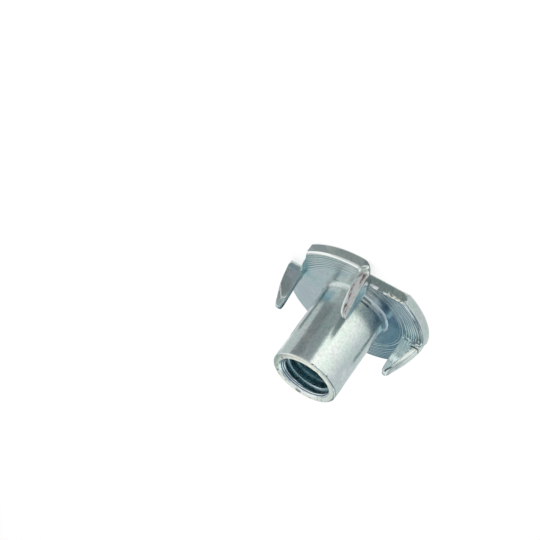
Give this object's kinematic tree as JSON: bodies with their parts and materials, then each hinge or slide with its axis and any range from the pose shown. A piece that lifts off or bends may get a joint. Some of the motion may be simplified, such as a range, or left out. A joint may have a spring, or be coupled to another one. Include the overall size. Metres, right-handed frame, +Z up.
{
  "type": "tee nut",
  "caption": "Pronged tee nut for wood: a round flange with folded-up prongs around a threaded barrel, pressed from one piece of zinc-plated steel sheet.",
  "frame": {"origin": "on the barrel's axis, in the plane of the flange's outer face, which the nut stands on", "axes": "+Z up along the barrel from the flange to the barrel's end; +X through the line where the first prong's fold starts"},
  "size_m": [0.022, 0.022, 0.0148],
  "materials": {
    "zinc": "bright zinc plating with a pale blue passivation, rougher on the sheared edges"
  },
  "bodies": {
    "root": {"tee_nut": "zinc"}
  },
  "joints": []
}
